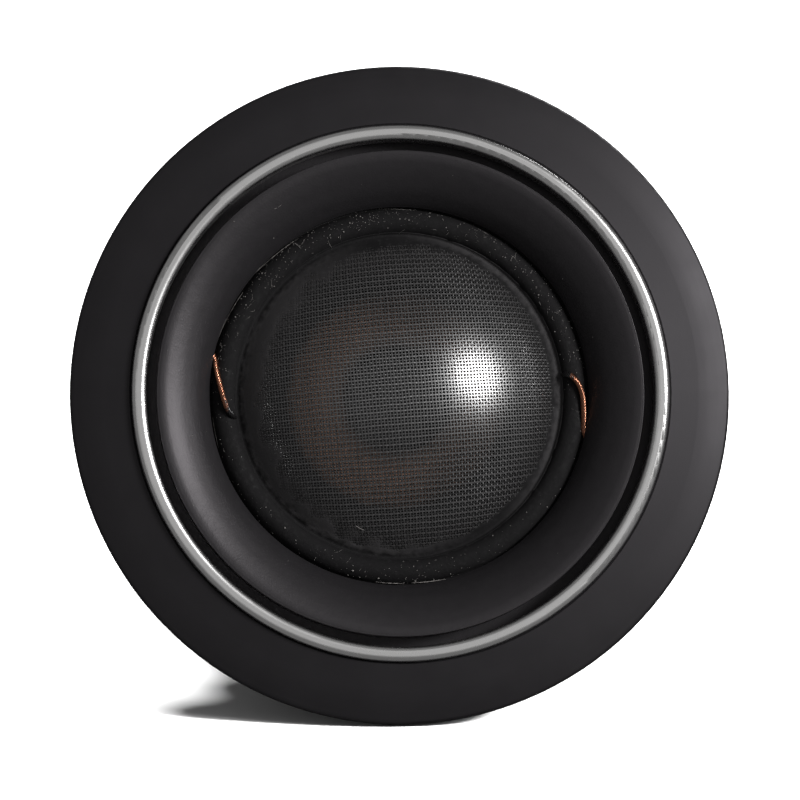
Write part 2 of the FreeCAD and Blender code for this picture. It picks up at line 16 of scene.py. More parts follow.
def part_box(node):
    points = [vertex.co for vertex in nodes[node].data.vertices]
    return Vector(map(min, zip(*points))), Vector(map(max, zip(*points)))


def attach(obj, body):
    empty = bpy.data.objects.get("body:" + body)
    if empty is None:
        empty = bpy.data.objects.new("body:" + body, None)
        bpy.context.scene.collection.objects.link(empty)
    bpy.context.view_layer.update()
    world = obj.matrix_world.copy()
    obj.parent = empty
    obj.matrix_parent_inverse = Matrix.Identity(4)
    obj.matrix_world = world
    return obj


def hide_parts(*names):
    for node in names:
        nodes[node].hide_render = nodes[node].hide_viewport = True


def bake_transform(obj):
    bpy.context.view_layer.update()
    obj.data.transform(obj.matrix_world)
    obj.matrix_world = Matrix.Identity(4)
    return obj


MM = 0.001
rng = random.Random(11)

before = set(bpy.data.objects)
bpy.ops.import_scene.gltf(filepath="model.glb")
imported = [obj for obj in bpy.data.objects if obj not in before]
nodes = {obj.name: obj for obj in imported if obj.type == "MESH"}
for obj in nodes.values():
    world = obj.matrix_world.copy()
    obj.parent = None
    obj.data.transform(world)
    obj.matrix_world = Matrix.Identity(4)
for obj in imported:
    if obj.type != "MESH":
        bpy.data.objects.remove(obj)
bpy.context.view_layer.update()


def size_of(node):
    """(radius, back f, front f) of a node turned on the axis, in millimetres."""
    low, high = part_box(node)
    return high.x / MM, -high.y / MM, -low.y / MM


# ---------------------------------------------------------------- sizes, in millimetres
SHEET = 0.2                                   # thickness of the dome and the surround
DOME_RADIUS, _, DOME_APEX = size_of("dome")
FORMER_RADIUS, _, RIM_TOP = size_of("coil_former")
DOME_SPHERE = (DOME_RADIUS ** 2 + (DOME_APEX - RIM_TOP) ** 2) / (2 * (DOME_APEX - RIM_TOP))
DOME_CENTRE = DOME_APEX - DOME_SPHERE
RIM_RADIUS, _, ROLL_TOP = size_of("surround")
ROLL_MIDDLE, ROLL_HALF_WIDTH = 13.9, 1.0
ROLL_INNER, ROLL_OUTER = ROLL_MIDDLE - ROLL_HALF_WIDTH, ROLL_MIDDLE + ROLL_HALF_WIDTH
ROLL_RISE = ROLL_TOP - RIM_TOP
ROLL_SPHERE = (ROLL_HALF_WIDTH ** 2 + ROLL_RISE ** 2) / (2 * ROLL_RISE)
TRIM_FRONT = size_of("trim_ring")[2]
LIP_BORE = 20.2                               # inside of the trim ring
FLANGE_RADIUS = size_of("faceplate")[0]
SEAM_RADIUS = 14.84                           # where lint lies against the flare's throat; a pale line of it is also a painted highlight on the lip

THREAD_PITCH = 0.262
THREAD_WIDTH = 0.132
THREAD_TOP = 0.6                              # share of a thread's width that is flat on top
THREAD_RISE = 0.085                           # thickness of a thread
THREAD_FLOAT = 0.62                           # share of the pitch that a thread lies flat over another
THREAD_CRIMP = 0.026                          # how far a thread weaves to either side of the cloth
HEAVY_WEFT, FINE_WEFT = 1.18, 0.94            # widths of alternate weft threads, against THREAD_WIDTH
HEAVY_LIFT, HEAVY_CRIMP = 0.018, 0.6          # a heavy one's height over the cloth, its share of crimp
WEAVE_IN_COATING = 0.05                       # how much of the weave's relief shows in the coating
WEAVE_TURN = 4.0                              # degrees, anticlockwise from the front
HEM = 0.05                                    # how far inside the cloth's cut edge the threads end

SOAK_CENTRE = (1.1, -0.2)                     # the glue has soaked in towards here from all sides
FILM_EDGE = 9.2                               # where the film of soaked-in glue begins
FILM_SOAK = (10.7, 12.6)                      # it deepens between these distances from SOAK_CENTRE
FILM_RIM = (11.8, 12.3)                       # and it fills the cloth between these radii
FILM_DEPTH, RIM_DEPTH = 0.032, 0.01           # how far it then lies below the dome's front
BEAD_EDGE = 12.45                             # where the dome's bead of glue begins
BEAD_RISE = 0.09                              # and how high it stands

LEAD_RADIUS = 0.23                            # a little more than in the CAD source
LEAD_STRANDS = 7
LEAD_LAY = 1.6                                # length of one turn of a strand
# The leads' control points, (angle, r, f), as in the CAD source.
LEADS = {
    "left": ((187, 13.02, -4.05), (187, 13.02, -1.7), (187, 13.25, -0.2), (183.5, 13.75, 0.12),
             (177, 14.15, 0.12), (171.5, 14.6, -0.22), (167.5, 14.84, -0.8), (165, 15.9, -0.765),
             (165, 17.9, -0.795)),
    "right": ((7, 13.02, -4.05), (7, 13.02, -1.7), (7, 13.25, -0.2), (5.5, 13.95, 0.12),
              (0.5, 14.5, 0.0), (-6.5, 14.68, -0.3), (-12, 14.84, -0.8), (-15, 15.9, -0.765),
              (-15, 17.9, -0.795)),
}


# ---------------------------------------------------------------- shaders
class Shader:
    """A Principled material. Its patterns are laid out in millimetres of the row frame."""

    def __init__(self, name, colour, roughness, **sockets):
        self.material = bpy.data.materials.new(name)
        self.material.use_nodes = True
        self.tree = self.material.node_tree
        self.surface = self.tree.nodes["Principled BSDF"]
        self.set("Base Color", (*colour, 1))
        self.set("Roughness", roughness)
        for socket, value in sockets.items():
            self.set(socket.replace("_", " ").title().replace("Ior", "IOR"), value)
        where = self.add("TexCoord").outputs["Object"]
        self.place = self.vector("SCALE", where, scale=1 / MM)

    def set(self, socket, value):
        """Sets a socket of the Principled node to a value, or links it."""
        self.feed(self.surface.inputs[socket], value)

    def colour(self):
        """The pattern that gives the base colour so far."""
        return self.surface.inputs["Base Color"].links[0].from_socket

    def feed(self, socket, value):
        """Sets any socket of the tree to a value, or links it."""
        if isinstance(value, bpy.types.NodeSocket):
            self.tree.links.new(value, socket)
        else:
            socket.default_value = value

    def add(self, kind, **settings):
        node = self.tree.nodes.new("ShaderNode" + kind)
        for key, value in settings.items():
            setattr(node, key, value)
        return node

    def vector(self, operation, a, b=None, scale=None):
        node = self.add("VectorMath", operation=operation)
        self.feed(node.inputs[0], a)
        if b is not None:
            self.feed(node.inputs[1], b)
        if scale is not None:
            self.feed(node.inputs["Scale"], scale)
        return node.outputs["Value" if operation in ("LENGTH", "DOT_PRODUCT") else "Vector"]

    def math(self, operation, a, b=0.0, clamp=False):
        node = self.add("Math", operation=operation, use_clamp=clamp)
        self.feed(node.inputs[0], a)
        self.feed(node.inputs[1], b)
        return node.outputs[0]

    def radius(self):
        """Distance from the axis, in millimetres."""
        return self.vector("LENGTH", self.vector("MULTIPLY", self.place, (1, 0, 1)))

    def round_the_axis(self, along=0.15):
        """Coordinates whose patterns come out as rings, with streaks 1 / along times their width."""
        parts = self.add("SeparateXYZ")
        self.feed(parts.inputs[0], self.place)
        angle = self.math("ARCTAN2", parts.outputs["Z"], parts.outputs["X"])
        joined = self.add("CombineXYZ")
        self.feed(joined.inputs[0], self.radius())
        self.feed(joined.inputs[1], parts.outputs["Y"])
        self.feed(joined.inputs[2], self.math("MULTIPLY", angle, 20 * along))
        return joined.outputs[0]

    def noise(self, size, detail=3.0, roughness=0.55, where=None):
        """Noise with features about size millimetres across."""
        node = self.add("TexNoise")
        self.feed(node.inputs["Vector"], where or self.place)
        node.inputs["Scale"].default_value = 1 / size
        node.inputs["Detail"].default_value = detail
        node.inputs["Roughness"].default_value = roughness
        return node.outputs["Fac"]

    def spread(self, value, low, high, out_low=0.0, out_high=1.0):
        """Maps low..high onto out_low..out_high, held at both ends."""
        node = self.add("MapRange")
        for socket, number in zip(node.inputs, (value, low, high, out_low, out_high)):
            self.feed(socket, number)
        return node.outputs["Result"]

    def mix(self, share, a, b):
        """A colour between two."""
        node = self.add("Mix", data_type="RGBA")
        self.feed(node.inputs["Factor"], share)
        colours = [s for s in node.inputs if s.type == "RGBA"]
        for socket, colour in zip(colours, (a, b)):
            self.feed(socket, colour if isinstance(colour, bpy.types.NodeSocket) else (*colour, 1))
        return next(s for s in node.outputs if s.type == "RGBA")

    def bump(self, height, depth, before=None):
        """Adds relief: a height of 0 to 1 stands for depth millimetres."""
        node = self.add("Bump")
        node.inputs["Strength"].default_value = 1.0
        node.inputs["Distance"].default_value = depth * MM
        self.feed(node.inputs["Height"], height)
        if before is not None:
            self.feed(node.inputs["Normal"], before)
        self.set("Normal", node.outputs["Normal"])
        return node.outputs["Normal"]


GLUE_BLACK = (0.009, 0.0086, 0.009)


def tinted(colour, factor):
    return tuple(c * factor for c in colour)


def grained(name, colour, roughness, grain, depth, mottle=0.25, **sockets):
    """Painted, moulded or plated surface: fine grain, uneven gloss and slightly uneven colour."""
    shader = Shader(name, colour, roughness, **sockets)
    cloud = shader.noise(2.5, 4)
    shader.set("Base Color", shader.mix(shader.spread(cloud, 0.3, 0.7), tinted(colour, 1 - mottle),
                                        tinted(colour, 1 + mottle)))
    shader.set("Roughness", shader.spread(shader.noise(0.6, 4), 0.3, 0.7, roughness * 0.93,
                                          roughness * 1.07))
    shader.bump(shader.noise(grain, 2), depth)
    return shader


def anodised(name, roughness):
    """Bead-blasted and black anodised aluminium, with faint rings left from turning."""
    dark, light = (0.008, 0.0074, 0.0082), (0.012, 0.0112, 0.0122)
    shader = Shader(name, dark, roughness, specular_ior_level=0.28)
    shader.set("Specular Tint", (1, 0.95, 1, 1))
    rings = shader.noise(0.12, 2, where=shader.round_the_axis(0.02))
    cloud = shader.noise(3.0, 5)
    shader.set("Base Color", shader.mix(cloud, dark, light))
    shader.set("Roughness", shader.spread(cloud, 0.3, 0.7, roughness - 0.02, roughness + 0.02))
    grain = shader.bump(shader.noise(0.09, 2, 0.7), 0.0035)
    shader.bump(rings, 0.0012, grain)
    return shader


def turned_metal(name, colour, roughness, ring_depth, wear=0.0):
    """Bare metal turned on a lathe: fine streaks round the axis, and small nicks."""
    shader = Shader(name, colour, roughness, metallic=1.0)
    rings = shader.noise(0.05, 3, 0.7, where=shader.round_the_axis(0.01))
    smudge = shader.noise(1.8, 5)
    shader.set("Base Color", shader.mix(shader.spread(smudge, 0.35, 0.7), colour, tinted(colour, 0.86)))
    shader.set("Roughness", shader.spread(smudge, 0.3, 0.7, roughness * 0.85, roughness * 1.2))
    relief = shader.bump(rings, ring_depth)
    if wear:
        nicks = shader.spread(shader.noise(0.22, 3, 0.6), 0.79, 0.82)
        shader.bump(nicks, -wear, relief)
    return shader


def sandy(name, roughness):
    """Moulded black plastic with a fine sanded face and a few specks of dust."""
    dark, light, dust = (0.011, 0.0102, 0.0112), (0.017, 0.016, 0.0172), (0.22, 0.21, 0.2)
    shader = Shader(name, dark, roughness, specular_ior_level=0.35)
    shader.set("Specular Tint", (1, 0.94, 0.98, 1))
    base = shader.mix(shader.noise(0.8, 5), dark, light)
    specks = shader.spread(shader.noise(0.16, 1, 0.4), 0.83, 0.86)
    shader.set("Base Color", shader.mix(specks, base, dust))
    grain = shader.bump(shader.noise(0.16, 3, 0.75), 0.011)
    shader.bump(shader.noise(0.9, 2), 0.012, grain)
    return shader


def tacky(name, roughness, lump):
    """Black damping compound brushed over cloth: soft lumps and glossy and dull patches."""
    dust_and_painted_fill = tinted(GLUE_BLACK, 2.0)
    shader = Shader(name, GLUE_BLACK, roughness, specular_ior_level=0.1)
    patches = shader.noise(0.5, 5, 0.65)
    shader.set("Base Color", shader.mix(shader.spread(patches, 0.55, 0.75), GLUE_BLACK, dust_and_painted_fill))
    shader.set("Roughness", shader.spread(patches, 0.35, 0.7, roughness * 0.8, roughness * 1.4))
    shader.bump(shader.noise(0.28, 4, 0.6), lump)
    return shader


def thread(name):
    """Dark thread under a glossy clear coating, with a painted sheen: heavy weft rows are painted paler.
    Towards the edge it is soaked in black glue, which reaches further in on the left."""
    shader = Shader(name, (0.02, 0.02, 0.02), 0.45, specular_ior_level=0.35, coat_weight=1.0,
                    coat_roughness=0.285, coat_ior=2.25)
    tone_and_sheen = shader.add("Attribute", attribute_name="thread_tone_and_sheen").outputs["Fac"]
    # Painted sheen: thread_tone_and_sheen makes heavy weft rows paler and fine ones darker, for the
    # light the rows catch.
    uneven = shader.math("ADD", shader.noise(0.9, 4, 0.6), tone_and_sheen)
    dry_and_sheen = shader.mix(shader.spread(uneven, 0.1, 1.5), (0.004, 0.0038, 0.0039), (0.042, 0.040, 0.0407))
    from_centre = shader.vector("SUBTRACT", shader.place, (SOAK_CENTRE[0], 0, SOAK_CENTRE[1]))
    off_centre = shader.vector("LENGTH", shader.vector("MULTIPLY", from_centre, (1, 0, 1)))
    ragged = shader.math("ADD", off_centre, shader.math("MULTIPLY", shader.noise(1.6, 5, 0.65), 3.0))
    soaked = shader.spread(ragged, 11.0, 14.2)
    rim = shader.spread(shader.math("ADD", shader.radius(), shader.noise(0.7, 4)), 12.0, 13.0)
    glued = shader.mix(rim, (0.036, 0.0345, 0.035), GLUE_BLACK)
    shader.set("Base Color", shader.mix(soaked, dry_and_sheen, glued))
    shader.set("Specular IOR Level", shader.spread(soaked, 0, 1, 0.35, 0.25))
    shader.bump(shader.noise(0.05, 2), 0.0015)
    # The coating is thick enough to smooth the weave over, so it mostly shines like the dome itself,
    # on the crowns of the threads.
    outwards = shader.vector("NORMALIZE", shader.vector("SUBTRACT", shader.place, (0, -DOME_CENTRE, 0)))
    facet = shader.add("NewGeometry").outputs["Normal"]
    crown = shader.spread(shader.vector("DOT_PRODUCT", outwards, facet), 0.5, 0.85)
    shader.set("Coat Weight", shader.math("MULTIPLY", crown, shader.spread(soaked, 0, 1, 1.0, 0.08)))
    shader.set("Coat Normal", shader.vector("NORMALIZE", shader.vector(
        "ADD", shader.vector("SCALE", outwards, scale=1 - WEAVE_IN_COATING),
        shader.vector("SCALE", facet, scale=WEAVE_IN_COATING))))
    return shader


def copper(name, colour, roughness):
    """Drawn copper wire, brighter where it is rubbed."""
    shader = Shader(name, colour, roughness, metallic=1.0)
    tarnish = shader.noise(0.3, 4)
    shade = shader.spread(tarnish, 0.35, 0.65)
    shader.set("Base Color", shader.mix(shade, tinted(colour, 0.55), colour))
    shader.set("Roughness", shader.spread(tarnish, 0.35, 0.65, roughness * 1.3, roughness * 0.85))
    shader.bump(shader.noise(0.06, 2), 0.004)
    return shader


def banded_copper(name, colour, roughness):
    """The copper sleeve: copper in a band round the vent, and near black inside and outside that band.
    """
    shader = copper(name, colour, roughness)
    inner_edge, outer_edge = (6.4, 4.6), (8.6, 9.4)
    place = shader.math("ADD", shader.radius(), shader.noise(0.8, 3))
    darkened = shader.math("ADD", shader.spread(place, *outer_edge), shader.spread(place, *inner_edge),
                          clamp=True)
    shader.set("Base Color", shader.mix(darkened, shader.colour(), (0.01, 0.0095, 0.01)))
    shader.set("Metallic", shader.spread(darkened, 0, 1, 0.4, 0))
    return shader


def felt(name, colour):
    """Pressed wool felt."""
    shader = Shader(name, colour, 0.95, sheen_weight=0.3)
    fibres = shader.noise(0.12, 5, 0.75)
    shader.set("Base Color", shader.mix(fibres, tinted(colour, 0.6), tinted(colour, 1.4)))
    shader.bump(fibres, 0.12)
    return shader


def winding(name):
    """Enamelled copper wire: the turns are in the shape, and the enamel varies in colour."""
    shader = Shader(name, (0.55, 0.2, 0.09), 0.25, metallic=0.85, coat_weight=0.6)
    shade = shader.noise(0.5, 3, where=shader.round_the_axis(0.1))
    shader.set("Base Color", shader.mix(shade, (0.4, 0.13, 0.06), (0.62, 0.25, 0.12)))
    return shader


# By the node's name, or by that name without its last word.
LOOKS = {
    "faceplate": anodised("black_anodised", 0.47),
    "rear_can": anodised("black_anodised_can", 0.42),
    "trim_ring": turned_metal("bright_trim", (0.80, 0.79, 0.785), 0.27, 0.001, 0.02),
    "waveguide": sandy("sanded_black", 0.435),
    "carrier_ring": grained("carrier_plastic", (0.012, 0.012, 0.013), 0.5, 0.3, 0.01),
    "coil_former": turned_metal("former_foil", (0.75, 0.74, 0.72), 0.3, 0.002),
    "voice_coil": winding("winding"),
    "copper_cap": banded_copper("cap_copper", (0.66, 0.38, 0.27), 0.38),
    "pole_plate": turned_metal("pole_steel", (0.50, 0.49, 0.46), 0.35, 0.003),
    "yoke_cup": turned_metal("yoke_steel", (0.55, 0.54, 0.50), 0.32, 0.003),
    "magnet": grained("nickel_plate", (0.58, 0.56, 0.52), 0.22, 0.5, 0.004, 0.06, metallic=1.0),
    "chamber_gasket": grained("gasket_foam", (0.02, 0.02, 0.02), 0.8, 0.15, 0.04),
    "solder_lug": grained("tinned_lug", (0.62, 0.60, 0.56), 0.3, 0.4, 0.012, 0.12, metallic=1.0),
    "hookup_wire_positive": grained("red_insulation", (0.45, 0.02, 0.015), 0.4, 0.5, 0.01, 0.1),
    "hookup_wire_negative": grained("black_insulation", (0.012, 0.012, 0.012), 0.4, 0.5, 0.01),
    "terminal_board": grained("board_fibre", (0.022, 0.017, 0.014), 0.55, 0.2, 0.012, 0.35),
    "terminal": grained("tinned_brass", (0.70, 0.66, 0.55), 0.28, 0.6, 0.006, 0.08, metallic=1.0),
    "board_screws": grained("zinc_plate", (0.62, 0.62, 0.60), 0.27, 0.4, 0.006, 0.1, metallic=1.0),
    "mounting_insert": turned_metal("turned_brass", (0.75, 0.53, 0.22), 0.25, 0.004, 0.01),
}
for name, node in nodes.items():
    look = LOOKS.get(name) or LOOKS.get(name.rsplit("_", 1)[0])
    if look:
        node.data.materials[0] = look.material


# ---------------------------------------------------------------- making meshes
def piece(name, vertices, faces, shader, smooth=True):
    """A mesh object from vertices in millimetres of the row frame."""
    mesh = bpy.data.meshes.new(name)
    mesh.from_pydata((np.asarray(vertices, float) * MM).tolist(), [], [list(f) for f in faces])
    mesh.materials.append(shader.material)
    mesh.polygons.foreach_set("use_smooth", [smooth] * len(mesh.polygons))
    mesh.update()
    made = bpy.data.objects.new(name, mesh)
    bpy.context.scene.collection.objects.link(made)
    return made


def point(angle, r, f):
    """A point from its angle round the axis in degrees, from +X towards +Z."""
    a = math.radians(angle)
    return np.array((r * math.cos(a), -f, r * math.sin(a)))


def closed_strip(steps, count):
    """Faces between closed loops of count vertices, laid end to end round a ring of steps."""
    here = np.arange(steps * count).reshape(steps, count)
    after = np.roll(here, -1, axis=0)
    faces = np.stack([here, np.roll(here, -1, axis=1), np.roll(after, -1, axis=1), after], axis=-1)
    return faces.reshape(-1, 4)


def turned_ring(name, profile, shader, steps=360, relief=None):
    """A closed profile of (r, f) points turned round the axis; relief(x, z, r, f) lifts each point."""
    angles = np.arange(steps) * 2 * math.pi / steps
    r, f = np.array(profile).T
    x, z = np.outer(np.cos(angles), r), np.outer(np.sin(angles), r)
    depth = np.tile(f, (steps, 1))
    if relief:
        lift = [[relief(x[i, j], z[i, j], r[j], f[j]) for j in range(len(r))] for i in range(steps)]
        depth = depth + np.array(lift)
    vertices = np.stack([x, -depth, z], axis=-1).reshape(-1, 3)
    return piece(name, vertices, closed_strip(steps, len(profile)), shader)


def bundle(sections, loops):
    """Faces of closed tubes laid end to end in one vertex list: loops vertices round each section."""
    faces, start = [], 0
    for count in sections:
        here = start + np.arange(count * loops).reshape(count, loops)
        side = np.stack([here[:-1], here[1:], np.roll(here[1:], -1, axis=1),
                         np.roll(here[:-1], -1, axis=1)], axis=-1)
        faces += side.reshape(-1, 4).tolist()
        faces += [here[0].tolist(), here[-1][::-1].tolist()]
        start += count * loops
    return faces


def tube_sections(line, radius, loops=8, phase=0.0):
    """Rings of vertices round a line of points, with no twist from ring to ring."""
    line = np.asarray(line, float)
    ahead = np.gradient(line, axis=0)
    ahead /= np.linalg.norm(ahead, axis=1)[:, None]
    side = np.cross(ahead[0], (0.3, 0.9, 0.1))
    radius = np.broadcast_to(radius, len(line))
    rings = []
    for centre, direction, size in zip(line, ahead, radius):
        side = side - direction * (side @ direction)
        side /= np.linalg.norm(side)
        over = np.cross(direction, side)
        turn = phase + np.arange(loops) * 2 * math.pi / loops
        rings.append(centre + size * (np.outer(np.cos(turn), side) + np.outer(np.sin(turn), over)))
    return np.concatenate(rings)


def spline(points, steps=12):
    """The line of a NURBS curve through the middle of its control points, in millimetres."""
    curve = bpy.data.curves.new("line", "CURVE")
    curve.dimensions = "3D"
    curve.resolution_u = steps
    run = curve.splines.new("NURBS")
    run.points.add(len(points) - 1)
    for control, place in zip(run.points, points):
        control.co = (*place, 1)
    run.order_u = 3
    run.use_endpoint_u = True
    holder = bpy.data.objects.new("line", curve)
    mesh = bpy.data.meshes.new_from_object(holder)
    line = np.array([v.co for v in mesh.vertices])
    bpy.data.objects.remove(holder)
    bpy.data.meshes.remove(mesh)
    bpy.data.curves.remove(curve)
    return line


# ---------------------------------------------------------------- the dome's cloth
def on_dome(u, v, lift):
    """The flat cloth's point (u, v) once pressed over the sphere, lifted off its middle surface."""
    reach = np.maximum(np.hypot(u, v), 1e-9)
    radius = DOME_SPHERE - SHEET / 2 + lift
    turn = reach / (DOME_SPHERE - SHEET / 2)
    out = radius * np.sin(turn) / reach
    return np.stack([u * out, -(DOME_CENTRE + radius * np.cos(turn)), v * out], axis=-1)


CLOTH_RADIUS = (DOME_SPHERE - SHEET / 2) * math.asin(DOME_RADIUS / DOME_SPHERE) - HEM


def woven(name, crosswise, shader):
    """All the threads that run one way, each a closed strand that passes over and under the threads
    of the other set. A strand lies flat where it crosses another. Its thread_tone_and_sheen is its own
    random tone plus a painted sheen: the heavier it is, the paler."""
    turn = math.radians(WEAVE_TURN)
    reach = CLOTH_RADIUS
    wander = rng.uniform(0, 100)
    vertices, sections, tones_and_sheen = [], [], []
    count = int(reach / THREAD_PITCH)
    for i in range(-count, count + 1):
        offset = i * THREAD_PITCH + rng.gauss(0, 0.006)
        half = math.sqrt(max(reach ** 2 - offset ** 2, 0))
        ends = int(half / THREAD_PITCH - 0.5)
        if ends < 1:
            continue
        crossing = np.repeat(np.arange(-ends, ends + 1), 2)
        step = crossing + np.tile((-THREAD_FLOAT / 2, THREAD_FLOAT / 2), 2 * ends + 1)
        along = step * THREAD_PITCH
        over = np.where((crossing + i) % 2 == crosswise, 1, -1)
        heavy = 1.0 if crosswise else (HEAVY_WEFT if i % 2 == 0 else FINE_WEFT)
        width = THREAD_WIDTH * heavy * rng.uniform(0.95, 1.05)
        if heavy == HEAVY_WEFT:
            crimp = HEAVY_LIFT + HEAVY_CRIMP * THREAD_CRIMP * over
        else:
            crimp = THREAD_CRIMP * over
        sway = 0.04 * np.array([noise.noise((p * 0.8, offset * 0.8, wander)) for p in along])
        rows = []
        for across, rise in ((-0.5, -0.5), (-THREAD_TOP / 2, 0.5), (THREAD_TOP / 2, 0.5), (0.5, -0.5)):
            a, b = along, offset + sway + across * width
            u, v = (b, a) if crosswise else (a, b)
            x, z = u * math.cos(turn) - v * math.sin(turn), u * math.sin(turn) + v * math.cos(turn)
            rows.append(on_dome(x, z, crimp + rise * THREAD_RISE))
        vertices.append(np.stack(rows, axis=1).reshape(-1, 3))
        sections.append(len(step))
        # Painted sheen: paler heavy weft rows and darker fine ones, plus each thread's own random tone.
        tones_and_sheen += [(heavy - 1) * 7 + rng.gauss(0, 0.12)] * (4 * len(step))
    made = piece(name, np.concatenate(vertices), bundle(sections, 4), shader, smooth=False)
    tone_and_sheen = made.data.attributes.new("thread_tone_and_sheen", "FLOAT", "POINT")
    tone_and_sheen.data.foreach_set("value", np.array(tones_and_sheen, np.float32))
    return made


cloth_look = thread("dome_thread")
weft = woven("dome_weft", False, cloth_look)
warp = woven("dome_warp", True, cloth_look)
for threads in (weft, warp):
    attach(threads, "diaphragm")
    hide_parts("dome")


# ---------------------------------------------------------------- surround, glue and leads
def roll_height(r):
    """Front face of the surround before any lumps."""
    beside = abs(r - ROLL_MIDDLE)
    if beside >= ROLL_HALF_WIDTH:
        return RIM_TOP
    return RIM_TOP + ROLL_RISE - ROLL_SPHERE + math.sqrt(ROLL_SPHERE ** 2 - beside ** 2)


def dome_height(r):
    """Front face of the dome, level beyond its edge."""
    return DOME_CENTRE + math.sqrt(DOME_SPHERE ** 2 - min(r, DOME_RADIUS) ** 2)


def lumps(x, z, size, seed):
    return noise.fractal((x / size, z / size, seed), 0.8, 2.0, 3)


def bend_with_diaphragm(obj):
    """Bakes a piece's placement into its mesh."""
    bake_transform(obj)


def surround_profile():
    inner, outer, step = FORMER_RADIUS, RIM_RADIUS, 0.06
    count = round((outer - inner) / step)
    radii = [inner + (outer - inner) * k / count for k in range(count + 1)]
    front = [(r, roll_height(r)) for r in radii]
    back = [(r, roll_height(r) - SHEET) for r in reversed(radii)]
    return front + back


def surround_relief(x, z, r, f):
    fade = min(1, (RIM_RADIUS - r) / 0.3, (r - FORMER_RADIUS) / 0.1)
    return 0.03 * lumps(x, z, 0.9, 3) * max(fade, 0)


surround = turned_ring("surround_cloth", surround_profile(), tacky("tacky_cloth", 0.75, 0.03),
                       relief=surround_relief)
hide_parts("surround")
bend_with_diaphragm(surround)


def eased(value, low, high):
    """0 below low, 1 above high, and smooth in between."""
    share = min(max((value - low) / (high - low), 0), 1)
    return share * share * (3 - 2 * share)


def bead_look():
    """Black glue with painted light: its film is painted paler where it faces away from the key light, a
    painted fill, and the bead is painted paler on its side towards that light, in the flare's shadow:
    dust and painted fill."""
    look = tacky("bead_glue", 0.7, 0.015)
    away = look.vector("DOT_PRODUCT", look.place, (-0.94, 0, -0.34))
    ragged = look.math("ADD", look.radius(), look.noise(0.6))
    film_inside, bead_outside = look.spread(ragged, 13.2, 12.7), look.spread(ragged, 12.7, 13.2)
    # Painted fill: the film is paler away from the key light, the bead paler on its shaded side towards
    # it.
    film = look.math("MULTIPLY", look.spread(away, -2, 7), film_inside)
    dust_and_painted_fill = look.math("MULTIPLY", look.spread(away, -4, -10), bead_outside)
    painted_fill = look.math("ADD", film, look.math("MULTIPLY", dust_and_painted_fill, 0.6))
    # the paler grey of the painted fill
    look.set("Base Color", look.mix(painted_fill, look.colour(), (0.052, 0.0495, 0.051)))
    return look


def bead():
    """The black glue on the dome: a film that has soaked into the cloth from its edge, further on the
    left, and fills the weave until only its heavy rows stand out of it; then the bead along the edge."""
    steps, foot = 720, ROLL_INNER + 0.12
    radii = [*np.arange(FILM_EDGE, BEAD_EDGE - 0.05, 0.1), *np.linspace(BEAD_EDGE, foot, 8)]
    vertices = []
    for i in range(steps):
        angle = 360 * i / steps
        top, under = [], []
        for r in radii:
            x, _, z = point(angle, r, 0)
            ground = dome_height(r) if r < DOME_RADIUS else max(dome_height(r), roll_height(r))
            if r < BEAD_EDGE:
                ragged = lumps(x, z, 1.3, 7)
                off_centre = math.hypot(x - SOAK_CENTRE[0], z - SOAK_CENTRE[1])
                soaked = eased(off_centre + 0.9 * ragged, *FILM_SOAK)
                rim = eased(r + 0.2 * ragged, *FILM_RIM)
                lift = -SHEET + max((SHEET - FILM_DEPTH) * soaked, (SHEET - RIM_DEPTH) * rim)
                under.append(ground + lift - 0.03)
            else:
                lift = 0.005 + BEAD_RISE * math.sin(math.pi * (r - BEAD_EDGE) / (foot - BEAD_EDGE))
                lift *= 1 + 0.3 * noise.noise((r * 2, angle * 0.4, 2))
                under.append(min(ground, dome_height(r)) - 0.02)
            top.append(ground + lift)
        vertices += [point(angle, r, f) for r, f in zip(radii, top)]
        vertices += [point(angle, r, f) for r, f in zip(radii[::-1], under[::-1])]
    return piece("dome_bead", vertices, closed_strip(steps, 2 * len(radii)), bead_look())


dome_bead = bead()
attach(dome_bead, "diaphragm")
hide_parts("dome_glue_ring")


def flexible_lead(side, shader):
    """Tinsel lead: a core with strands laid round it."""
    line = spline([point(*p) for p in LEADS[side]])
    distance = np.concatenate([[0], np.cumsum(np.linalg.norm(np.diff(line, axis=0), axis=1))])
    fine = np.linspace(0, distance[-1], int(distance[-1] / 0.06))
    line = np.stack([np.interp(fine, distance, line[:, k]) for k in range(3)], axis=1)
    core, strand, around = LEAD_RADIUS * 0.72, LEAD_RADIUS * 0.36, 72
    vertices, sections = [tube_sections(line, core)], [len(line)]
    guide = tube_sections(line, LEAD_RADIUS - strand, loops=around).reshape(len(line), around, 3)
    rows = np.arange(len(line))
    for k in range(LEAD_STRANDS):
        turn = (rows * (fine[1] / LEAD_LAY) + k / LEAD_STRANDS) % 1 * around
        low = np.floor(turn).astype(int)
        share = (turn - low)[:, None]
        path = guide[rows, low % around] * (1 - share) + guide[rows, (low + 1) % around] * share
        vertices.append(tube_sections(path, strand, loops=6))
        sections.append(len(line))
    faces, start = [], 0
    for count, loops, block in zip(sections, [8] + [6] * LEAD_STRANDS, vertices):
        faces += [[start + i for i in face] for face in bundle([count], loops)]
        start += len(block)
    made = piece("lead_" + side, np.concatenate(vertices), faces, shader)
    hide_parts("lead_wire_" + side)
    bend_with_diaphragm(made)


def half_coated_copper(name, colour, roughness):
    """The leads' copper: bare on the outer part of the surround, under the black glue inside it."""
    shader = copper(name, colour, roughness)
    ragged = shader.math("ADD", shader.radius(), shader.noise(0.3, 2))
    coated = shader.spread(ragged, 14.35, 14.1)
    shader.set("Base Color", shader.mix(coated, shader.colour(), (0.008, 0.0075, 0.008)))
    shader.set("Metallic", shader.spread(coated, 0, 1, 1, 0))
    return shader


